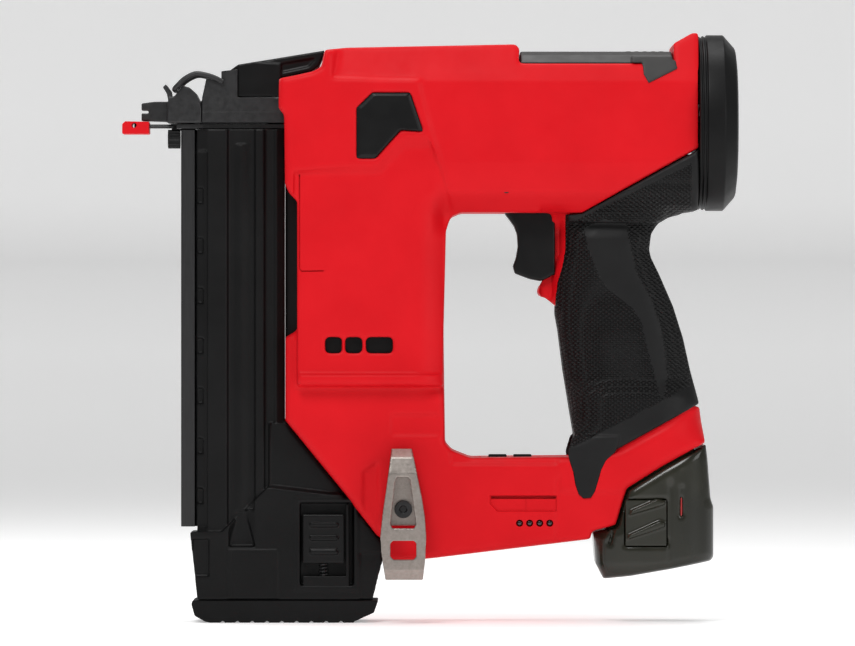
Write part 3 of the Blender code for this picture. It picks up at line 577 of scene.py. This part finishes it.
def gauge_window():
    """The crisp cuts of the gauge on the left side: lamp holes, and a sunk panel with its slot over them."""
    panel = ((91.2, 49.3), (88.0, 52.6), (88.0, 55.9), (117.0, 55.9), (117.0, 49.3))
    mouth = ((90.9, 49.0), (87.7, 52.5), (87.7, 56.2), (117.3, 56.2), (117.3, 49.0))
    holes = [rod((x, GAUGE_Z), 1.55, LOWER_HALF - 3.0, OUTSIDE) for x in GAUGE_HOLES]
    return holes + [
        stepped(panel, mouth, LOWER_HALF - 1.3, LOWER_HALF),
        block((88.4, LOWER_HALF - 3.4, 54.6), (116.6, OUTSIDE, 55.9)),
        block((103.4, LOWER_HALF - 1.6, 49.6), (103.9, OUTSIDE, 54.6)),
    ]


def housing(side, word):
    """One red half: shoulder and column reliefs, vents, gauge window, and the seats of the black inlays."""
    front_line = ((4.6, 196.4), (4.6, 155.4), (5.6, 154.2), (15.0, 154.4))
    add = housing_plates()
    cut = housing_reliefs()
    carve = [swept(TONGUE, LOWER_HALF - 1.5, OUTSIDE), swept(NOTCH, BODY_HALF - 1.6, OUTSIDE)]
    carve += grooved(front_line, 1.0, BODY_HALF - 2.4, 0.6)
    if side < 0:
        add.append(block((96.0, LOWER_HALF - 2.3, 40.5), (119.0, LOWER_HALF - 0.02, 47.5)))
        add.append(block((86.0, LOWER_HALF - 4.5, 47.5), (119.0, LOWER_HALF - 0.02, 58.0)))
        carve += gauge_window()
    moulded(f"housing_shell_{word}", f"housing_{word}", RED, "housing", "red_plastic", 0.85, 5,
            on_side(side, add), on_side(side, cut), on_side(side, carve), form)


def grip(side, word):
    """One half of the rubber overmould, with its tongue down to the bridge and a lowered side panel."""
    band = ((122.0, 60.0), (122.0, 75.6), (126.2, 77.8), (138.0, 84.6), (180.0, 106.0), (186.0, 90.0),
            (186.0, 60.0))
    add = [swept(TONGUE, LOWER_HALF - 1.3, LOWER_HALF + 0.15)]
    cut = [
        swept(SMOOTH_PANEL, GRIP_HALF - 0.6, GRIP_HALF + 3.0),
        swept(band, GRIP_HALF - 0.5, GRIP_HALF + 0.1),
    ]
    piece = moulded(f"grip_skin_{word}", f"grip_cover_{word}", KNURL, "housing", "black_rubber", 0.6, 4,
                    on_side(side, add), on_side(side, cut), (), form)
    mark_studs(piece)


def rear_cap():
    """The round cap over the gas tank: a turned oval cup with fine ribs, a chamfer and a shallow dome.

    Its profile gives steps back from the front edge and shares of the full half width.
    """
    low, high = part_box("rear_cap")
    centre = ((low[1] + high[1]) / 2 / MM, (low[2] + high[2]) / 2 / MM)
    half_y = (high[1] - low[1]) / 2 / MM
    half_z = (high[2] - low[2]) / 2 / MM
    front = low[0] / MM
    profile = ((0.0, 0.90), (0.0, 0.970), (0.3, 0.982), (0.9, 0.985), (1.1, 0.972), (1.7, 0.972),
               (1.9, 0.988), (2.7, 0.990), (2.9, 0.978), (3.5, 0.978), (3.7, 0.996), (4.2, 1.0),
               (11.0, 1.0), (11.5, 0.993), (16.2, 0.855), (16.7, 0.825), (17.3, 0.70), (17.6, 0.45),
               (17.7, 0.02))
    inner = ((12.5, 0.02), (12.5, 0.80), (10.0, 0.88), (4.0, 0.90))
    rings = [[(front + step, y, z) for y, z in oval(centre, half_y * size, half_z * size, 96, 2.1)]
             for step, size in (*profile, *inner)]
    piece = new_piece("rear_cap_shell", lofted(rings, closed=True))
    edge = piece.modifiers.new("edge", "BEVEL")
    edge.width = 0.35 * MM
    edge.segments = 2
    edge.limit_method = "ANGLE"
    edge.angle_limit = math.radians(12.0)
    settle(piece)
    dress(piece, BLACK, "housing", "black_plastic", "rear_cap")


def top_cover():
    """The arched cover on top, its grip ridges, and the inlay that runs down each side."""
    low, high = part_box("top_cover")
    crest = high[2] / MM
    ridge_width = 1.6
    add = [block((x, -15.0, crest - 1.2), (x + ridge_width, 15.0, crest + 0.1))
           for x in (148.0, 151.6, 155.2, 158.8, 162.4)]
    bridge = ((150.0, 245.4), (167.5, 245.4), (167.5, 248.4), (150.0, 248.4))
    for side, _ in SIDES:
        add += on_side(side, [swept(NOTCH, BODY_HALF - 2.4, BODY_HALF - 0.9),
                              swept(bridge, 20.0, BODY_HALF - 0.9)])
    carve = [block((low[0] / MM + 2.0, y - 0.4, crest - 0.8), (146.0, y + 0.4, crest + 1.0))
             for y in (-9.0, 9.0)]
    moulded("top_cover_shell", "top_cover", TOP_BLACK, "housing", "black_plastic", 0.5, 4,
            add, (), carve, form)


def side_inserts():
    """The black facets set into the sides of the housing's shoulder."""
    outline = ((36.6, 231.9), (29.9, 225.4), (29.9, 203.7), (37.7, 203.7), (48.7, 215.9), (58.3, 215.3),
               (52.7, 231.9))
    middle = (43.5, 219.5)

    def scaled(u, v):
        return [(middle[0] + (x - middle[0]) * u, middle[1] + (z - middle[1]) * v) for x, z in outline]

    flange, rim, facet = scaled(1.12, 1.12), scaled(1.03, 1.025), scaled(0.88, 0.91)
    levels = ((flange, BODY_HALF - 5.4), (flange, BODY_HALF - 2.8), (rim, BODY_HALF - 2.7),
              (rim, BODY_HALF - 0.5), (facet, BODY_HALF + 0.2))
    for side, word in SIDES:
        solid = lofted([[(x, y, z) for x, z in line] for line, y in levels])
        piece = new_piece(f"side_facet_{word}", on_side(side, [solid])[0])
        soften(piece, 0.4, 3)
        dress(piece, SATIN_BLACK, "housing", "black_plastic", f"side_insert_{word}")


def column_spine():
    """The dark rib on the centre plane between the magazine and the column behind it."""
    outline = ((-2.2, 88.0), (-2.2, 196.0), (4.4, 196.0), (4.4, 82.0))
    piece = new_piece("column_spine", swept(outline, -4.0, 4.0))
    soften(piece, 0.6, 2)
    dress(piece, SATIN_BLACK, "housing", "black_plastic")


def neck_web():
    """The black rib on the centre plane that closes the joint between the red body and the neck under it."""
    outline = ((123.5, 172.5), (158.0, 173.0), (172.0, 181.0), (177.6, 183.0), (177.6, 206.0), (166.0, 206.0),
               (124.5, 183.5))
    piece = new_piece("neck_web", swept(outline, -2.0, 2.0))
    soften(piece, 0.6, 2)
    dress(piece, BLACK, "housing", "black_plastic")


def vent_shade_plates():
    """Black plates behind the vent slots, painted shade so that the motor bay looks dark through them."""
    for side, word in SIDES:
        solid = block((12.5, 22.6, 115.4), (48.5, 24.0, 128.4))
        piece = new_piece(f"vent_shade_plate_{word}", on_side(side, [solid])[0])
        soften(piece, 0.5, 2)
        dress(piece, BLACK, "housing", "black_plastic")


def gauge():
    """Four small domed lamps behind the housing's gauge holes."""
    bm = bmesh.new()
    domes = ((2.8, 1.4), (1.4, 1.4), (0.9, 1.2), (0.6, 0.7))
    for x in GAUGE_HOLES:
        rings = [[(u, depth - LOWER_HALF, v) for u, v in oval((x, GAUGE_Z), radius, radius, 20)]
                 for depth, radius in domes]
        lamp = lofted(rings)
        mesh = bpy.data.meshes.new("lamp")
        lamp.to_mesh(mesh)
        bm.from_mesh(mesh)
    piece = new_piece("gauge_lamps", bm)
    dress(piece, LENS, "housing", "clear_lens", "gauge_lens")


# ---------------------------------------------------------------- nose

def nose_body():
    """The fixed steel nose, with the seam lines along its side and a plate over the contact rod's run."""
    shim = block((-52.6, 2.6, 216.6), (8.0, 9.4, 219.8))
    seams = [
        block((-66.5, -5.0, 224.0), (-62.4, 5.0, 225.3)),
        block((-36.0, -12.0, 230.9), (-31.0, -10.3, 231.3)),
        block((-39.0, -12.0, 224.2), (9.0, -10.3, 224.7)),
    ]
    moulded("nose_body", "nose_base", BLACK_METAL, "housing", "black_metal", 0.35, 2, [shim], seams)


def jam_lever():
    """The jam lever, with cheeks that close down onto the nose and a long groove in each flank."""
    cheeks = ((-23.0, 231.3), (-4.4, 231.3), (-4.0, 245.6), (-16.7, 246.4), (-23.0, 245.2))
    groove = ((-4.0, 241.8), (8.0, 244.3), (12.0, 248.4), (-4.0, 245.8))
    moulded("jam_lever_shell", "jam_lever", SATIN_BLACK, "jam_lever", "black_plastic", 0.45, 3,
            [swept(cheeks, -8.7, 8.7)], [swept(groove, y, y + 1.4) for y in (-8.6, 7.2)])


def wire_bail():
    """The wire that ties the lever to the nose door: two arched legs and a cross bar in front."""
    leg = [(-29.6, 237.6), (-33.0, 239.4), (-36.7, 240.6), (-41.5, 241.2), (-46.2, 239.0), (-49.4, 236.0)]
    bar = [(-50.7, -10.4, 234.6), (-50.9, 0.0, 234.4), (-50.7, 10.4, 234.6)]
    spread = 12.0
    points = [(x, -spread, z) for x, z in leg] + bar + [(x, spread, z) for x, z in reversed(leg)]
    piece = new_piece("bail_wire", wire(points, 1.1))
    dress(piece, BLACK_METAL, "wire_bail", "steel", "wire_bail")


def nose():
    """The black steel nose, its door, the jam lever and the wire bail."""
    nose_body()
    jam_lever()
    moulded("nose_door_plate", "nose_door", BLACK_METAL, "nose_door", "black_metal", 0.35, 2, (),
            [block((-58.0, -3.4, 231.6), (-51.9, 3.4, 238.0))])
    wire_bail()


def contact():
    """The red tip with its pin, its rod, the sprung arm and the depth wheel."""
    moulded("contact_tip_cap", "contact_tip", RED, "contact_arm", "red_plastic", 0.28, 3)
    pin = new_piece("contact_pin", block((-68.9, -1.2, 217.4), (-66.7, 1.2, 219.6)))
    dress(pin, BLACK_METAL, "contact_arm", "steel")
    bevelled("contact_rod", BLACK_METAL, 0.15)
    bevelled("contact_arm", BLACK_METAL, 0.2)
    bevelled("depth_wheel", BLACK, 0.12)


# ---------------------------------------------------------------- magazine

def magazine_side():
    """What is added to one side of the cover and foot, and what is cut from it before both are softened."""
    add = [
        swept(((-27.2, 10.8), (-5.4, 10.8), (-5.4, 32.0), (-27.2, 32.0)), 14.0, FOOT_HALF + 0.4),
        swept(((2.4, 14.4), (30.0, 14.4), (30.0, 54.8), (2.4, 54.8)), 14.0, FOOT_HALF + 0.3),
        swept(((-2.1, 88.4), (41.0, 35.7), (40.0, 33.8), (-4.0, 86.0)), -1.0, 12.4),
        swept(((28.5, 50.2), (39.5, 36.1), (39.5, 33.0), (28.5, 33.0)), -14.9, 14.9),
        swept(((-27.0, 9.0), (-27.0, 10.4), (-21.4, 12.3), (-15.4, 10.4), (-15.4, 9.0)), 49.0, 210.0, "Z"),
    ]
    plate_frame = ((-25.6, 11.8), (-25.0, 11.8), (-25.0, 30.9), (-7.6, 30.9), (-7.6, 11.8), (-7.0, 11.8),
                   (-7.0, 31.5), (-25.6, 31.5))
    cut = [
        swept(plate_frame, 14.9, 17.0),
        swept(((-42.3, 20.0), (-35.3, 20.0), (-35.3, 36.8), (-42.7, 36.8)), 13.4, 17.0),
        swept(((-41.4, 9.2), (-41.4, 16.0), (-36.2, 16.0), (-36.2, 11.2)), 41.5, 207.5, "Z"),
        stepped(((-8.4, 93.0), (-8.4, 60.6), (17.4, 57.4), (26.0, 57.4), (26.0, 93.0)),
                ((-10.2, 93.0), (-10.2, 59.2), (18.0, 56.0), (26.0, 56.0), (26.0, 93.0)), 12.8, FOOT_HALF),
        stepped(((-26.6, 33.6), (-15.4, 33.6), (-19.6, 49.0), (-22.8, 49.0)),
                ((-27.0, 33.2), (-15.0, 33.2), (-15.0, 50.0), (-27.0, 50.0)), 11.6, FOOT_HALF),
        swept(((-27.0, 49.5), (-15.4, 49.5), (-15.4, 58.0), (-27.0, 58.0)), 12.4, 17.0),
        stepped(((31.2, 9.0), (31.2, 30.4), (46.0, 30.4), (46.0, 9.0)),
                ((30.4, 9.0), (30.4, 31.4), (46.0, 31.4), (46.0, 9.0)), 14.2, FOOT_HALF),
    ]
    return add, cut


def magazine_shell():
    """The ribbed sliding cover and its foot, with rows of pockets, the latch's window and a toothed back."""
    pocket_rows = (52.0, 74.0, 96.0, 118.0, 140.0, 162.0, 184.0)
    add = []
    cut = []
    for side, _ in SIDES:
        side_add, side_cut = magazine_side()
        add += on_side(side, side_add)
        cut += on_side(side, side_cut)
        cut += on_side(side, [block((-41.2, 8.0, z), (-38.0, 14.0, z + 7.0)) for z in pocket_rows])
    cut.append(swept(((4.4, 16.3), (28.2, 16.3), (28.2, 52.8), (4.4, 52.8)), -20.0, -9.6))
    lean, tooth_pitch = 0.25, 1.25
    for rise in [tooth_pitch * k + 1.0 for k in range(12)]:
        rear = 36.2 + rise * lean
        tooth = ((rear, 9.6 + rise), (rear + 2.0, 10.4 + rise), (rear, 11.2 + rise))
        cut.append(swept(tooth, -16.0, 16.0))
    moulded("magazine_shell", "magazine_cover", BLACK, "magazine", "black_plastic", 0.55, 1, add, cut)


def latch_surround():
    """The wall and the lip inside the latch's window."""
    piece = new_piece("latch_surround", block((24.8, -15.2, 17.0), (26.0, -9.6, 52.0)))
    combine(piece, [block((6.0, -15.2, 16.0), (26.0, -13.6, 20.4))], "UNION")
    soften(piece, 0.3, 2)
    dress(piece, BLACK, "magazine", "black_plastic")


def magazine_latch():
    """The latch's thumb button, with three hexagonal ridges."""
    rise = 0.8
    ridges = [swept(((9.6, z), (20.6, z), (21.4, z + rise), (20.6, z + 2 * rise), (9.6, z + 2 * rise),
                     (8.8, z + rise)), -15.4, -14.0) for z in (30.0, 36.2, 42.2)]
    moulded("latch_button", "magazine_latch", SATIN_BLACK, "magazine_latch", "black_plastic", 0.3, 3, ridges)


def magazine():
    """The sliding cover and its foot, the rail behind it, the pad and the latch."""
    magazine_shell()
    latch_surround()
    rail_grooves = [block((-48.6, y - 0.5, 41.0), (-47.4, y + 0.5, 218.0)) for y in (-8.0, 8.0)]
    moulded("rail_extrusion", "magazine_rail", ANODISED, "housing", "aluminium", 0.5, 1, (), rail_grooves)
    moulded("pad_rubber", "foot_pad", RUBBER, "magazine", "black_rubber", 0.5, 3)
    magazine_latch()


# ---------------------------------------------------------------- trigger, hook, keys

def trigger():
    """The trigger, hollowed to the finger, with a rounded lower lip."""
    hollow = [rod((86.5, 167.0), 13.6, -4.5, 4.5, sides=64)]
    moulded("trigger_blade", "trigger", SATIN_BLACK, "trigger", "black_plastic", 0.45, 12, (), hollow)


def belt_hook():
    """The bent, pierced and tapered hook, with rolled edges, and its screw."""
    moulded("hook_strap", "belt_hook", HOOK, "housing", "steel", 0.32, 5)
    moulded("hook_screw", "belt_hook_screw", BLACK_METAL, "housing", "black_metal", 0.22, 2)


def keys():
    """The keypad's frame and its two rubber keys."""
    bevelled("keypad_panel", GREY, 0.25)
    for number in (1, 2):
        moulded(f"key_cap_{number}", f"keypad_button_{number}", RUBBER, f"key_{number}", "black_plastic",
                0.25, 6)


# ---------------------------------------------------------------- battery

def battery_form(co):
    """Rolls the battery's sides and lower edge, and its stem with the grip round it."""
    if co.z > 84.0:
        return form(co)
    x, y, z = co
    across = min(abs(x - 160.0) / 28.5, 0.97)
    down = min(max((27.0 - z) / 9.0, 0.0), 0.9)
    return Vector((x, y * (1.0 - 0.55 * across ** 4.5) * (1.0 - 0.10 * down * down), z))


def cell_glimpse(side, word):
    """A red strip of cell wrap behind one of the case's slots."""
    outline = ((171.2, 47.0), (172.0, 47.0), (172.2, 67.5), (171.4, 67.5))
    piece = new_piece(f"cell_glimpse_{word}", on_side(side, [swept(outline, 21.6, 22.4)])[0])
    soften(piece, 0.2, 1)
    dress(piece, WRAP, "battery", "cell_wrap")


def release_pad(side, word):
    """A release tab with two slanting ridges, trimmed to the case's widest plane."""
    ridge_outlines = (
        (((148.4, 47.0), (149.0, 49.8), (160.6, 55.0), (164.6, 54.0), (164.6, 51.6)),
         ((149.6, 48.2), (150.0, 49.2), (160.8, 54.0), (164.0, 53.2), (164.0, 52.6))),
        (((147.6, 36.4), (148.0, 39.2), (162.0, 45.6), (164.6, 44.6), (164.6, 41.8)),
         ((148.8, 37.6), (149.2, 38.6), (162.2, 44.6), (164.0, 43.8), (164.0, 43.0))),
    )
    ridges = [stepped(foot, crest, 23.8, 25.3 - 0.01) for foot, crest in ridge_outlines]
    trim = [block((140.0, 25.25, 30.0), (170.0, 60.0, 60.0))]
    pad = block((147.1, 22.7, 34.1), (165.1, 24.0, 54.1))
    piece = new_piece(f"release_pad_{word}", on_side(side, [pad])[0])
    combine(piece, on_side(side, ridges), "UNION")
    combine(piece, on_side(side, trim), "DIFFERENCE")
    soften(piece, 0.3, 3)
    dress(piece, SMOKE, f"release_tab_{word}", "smoke_plastic", f"release_tab_{word}")


def battery_shell():
    """The smoke-tinted case, with a slot, a fold behind the tab and a notch in front of it on each side."""
    slot = ((171.0, 46.5), (172.2, 46.5), (172.4, 68.0), (171.2, 68.0))
    notch = ((139.4, 34.0), (140.8, 34.0), (142.8, 41.6), (141.4, 41.6))
    fold_foot = ((165.6, 24.0), (167.0, 24.0), (167.6, 60.0), (166.2, 60.0))
    fold_crest = ((164.8, 22.0), (167.4, 22.0), (168.0, 64.0), (165.6, 64.0))
    cut = []
    for side, _ in SIDES:
        cut += on_side(side, [swept(slot, 22.0, 30.0), stepped(fold_foot, fold_crest, 23.2, 23.8),
                              swept(notch, 22.0, 30.0)])
    moulded("battery_shell", "battery_case", SMOKE, "battery", "smoke_plastic", 0.6, 4, (), cut,
            shape=battery_form)


def battery():
    """The smoke-tinted battery: case, release tabs and the red cells glimpsed through its slots."""
    for side, word in SIDES:
        cell_glimpse(side, word)
        release_pad(side, word)
    battery_shell()


# ---------------------------------------------------------------- kept CAD nodes

def bevelled(node, material, width):
    """A CAD node that keeps its shape, with broken edges and its own material."""
    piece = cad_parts[node]
    piece.data.materials.clear()
    piece.data.materials.append(material)
    weld = piece.modifiers.new("weld", "WELD")
    weld.merge_threshold = 0.000005
    edge = piece.modifiers.new("edge", "BEVEL")
    edge.width = width * MM
    edge.segments = 2
    edge.limit_method = "ANGLE"
    edge.angle_limit = math.radians(40.0)
    edge.use_clamp_overlap = True
    edge.harden_normals = False


def plain(node, material):
    """A CAD node that only takes a material."""
    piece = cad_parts[node]
    piece.data.materials.clear()
    piece.data.materials.append(material)


def inner_pieces():
    """Everything inside the shells, and the small fasteners."""
    finishes = {
        "air_tank": CAST, "cylinder_liner": BRIGHT, "bumper": RUBBER, "tank_end": CAST, "piston": CAST,
        "driver_blade": BRIGHT, "lifter_wheel": BRIGHT, "motor_can": MAGNET, "motor_stator": COPPER,
        "motor_end_plate": GREY, "motor_bearing_lower": BRIGHT, "motor_bearing_upper": BRIGHT,
        "motor_rotor": MAGNET, "motor_fan": GREY, "gearbox_case": CAST, "trigger_spring": BRIGHT,
        "trigger_switch": BLACK, "control_board": BOARD, "terminal_block": GREY, "battery_cap": BLACK,
        "battery_cell_1": WRAP, "battery_cell_2": WRAP, "battery_cell_3": WRAP, "contact_spring": BRIGHT,
        "latch_spring": BLACK_METAL, "pusher": GREY, "brad_strip": BRIGHT, "housing_screw_1": BLACK_METAL,
        "housing_screw_2": BLACK_METAL, "housing_screw_3": BLACK_METAL,
    }
    for node, material in finishes.items():
        plain(node, material)


# ---------------------------------------------------------------- studio

def sweep_floor():
    """A pale floor that curves up into a wall, far enough back for a camera to go round the tool."""
    floor_start, floor_run, bend_radius, wall_rise, half_width = -3800.0, 8000.0, 300.0, 9000.0, 3500.0
    steps = 24
    rings = []
    for step in range(steps + 1):
        t = step / steps
        angle = ease((t - 0.45) / 0.25) * math.pi / 2
        y = floor_start + floor_run * min(t / 0.6, 1.0) + bend_radius * math.sin(angle)
        z = bend_radius * (1.0 - math.cos(angle)) + max(t - 0.7, 0.0) * wall_rise
        rings.append((y, z))
    bm = bmesh.new()
    rows = [[bm.verts.new((x * MM, y * MM, z * MM)) for x in (-half_width, half_width)] for y, z in rings]
    for a, b in zip(rows, rows[1:]):
        bm.faces.new((a[0], a[1], b[1], b[0]))
    floor = new_piece("studio_sweep", bm)
    floor.data.shade_smooth()
    material, tree, shader = shader_nodes("studio_white")
    tree.links.new(tint(tree, span(tree, noise(tree, 3.0), 0.0, 1.0), (0.93, 0.93, 0.93), (0.95, 0.95, 0.95)),
                   shader.inputs["Base Color"])
    shader.inputs["Roughness"].default_value = 0.8
    shader.inputs["Emission Color"].default_value = (1.0, 1.0, 1.0, 1.0)
    shader.inputs["Emission Strength"].default_value = 0.28
    floor.data.materials.append(material)


def air():
    """Even light from all round, shown without a film look."""
    world = bpy.data.worlds.new("studio_air")
    world.use_nodes = True
    background = world.node_tree.nodes["Background"]
    background.inputs["Color"].default_value = (1.0, 1.0, 1.0, 1.0)
    background.inputs["Strength"].default_value = 0.26
    bpy.context.scene.world = world
    bpy.context.scene.view_settings.view_transform = "Standard"


def lamps():
    """Square soft boxes, placed from the tool's middle and aimed at it; sizes in metres, power in watts."""
    low, high = [Vector(corner) for corner in CAD_BOUNDS]
    middle = (low + high) / 2
    boxes = (
        ("key_light", (-0.30, -1.00, 1.05), 0.50, 10.8),
        ("fill_light", (1.0, -0.9, 0.35), 0.6, 4.0),
        ("top_light", (0.10, 0.15, 1.25), 0.8, 9.4),
        ("rim_light", (-0.9, 0.6, 0.6), 0.6, 4.0),
    )
    for name, offset, size, power in boxes:
        lamp = bpy.data.lights.new(name, "AREA")
        lamp.shape = "SQUARE"
        lamp.size = size
        lamp.energy = power
        holder = bpy.data.objects.new(name, lamp)
        holder.location = middle + Vector(offset)
        holder.rotation_euler = (middle - holder.location).to_track_quat("-Z", "Y").to_euler()
        bpy.context.collection.objects.link(holder)


def side_camera():
    """A long lens square to the tool's left side, level with its middle."""
    lens = bpy.data.cameras.new("camera")
    lens.lens = 260.0
    lens.sensor_width = 36.0
    camera = bpy.data.objects.new("camera", lens)
    camera.location = (0.0605, -2.726, 0.1316)
    camera.rotation_euler = (math.pi / 2, 0.0, 0.0)
    bpy.context.collection.objects.link(camera)
    bpy.context.scene.camera = camera


def studio():
    """The floor, the light and the camera."""
    sweep_floor()
    air()
    lamps()
    side_camera()


def main():
    """Builds the studio and every piece."""
    studio()
    inner_pieces()
    for side, word in SIDES:
        housing(side, word)
        grip(side, word)
    rear_cap()
    top_cover()
    side_inserts()
    neck_web()
    column_spine()
    vent_shade_plates()
    gauge()
    nose()
    contact()
    magazine()
    trigger()
    belt_hook()
    keys()
    battery()


main()
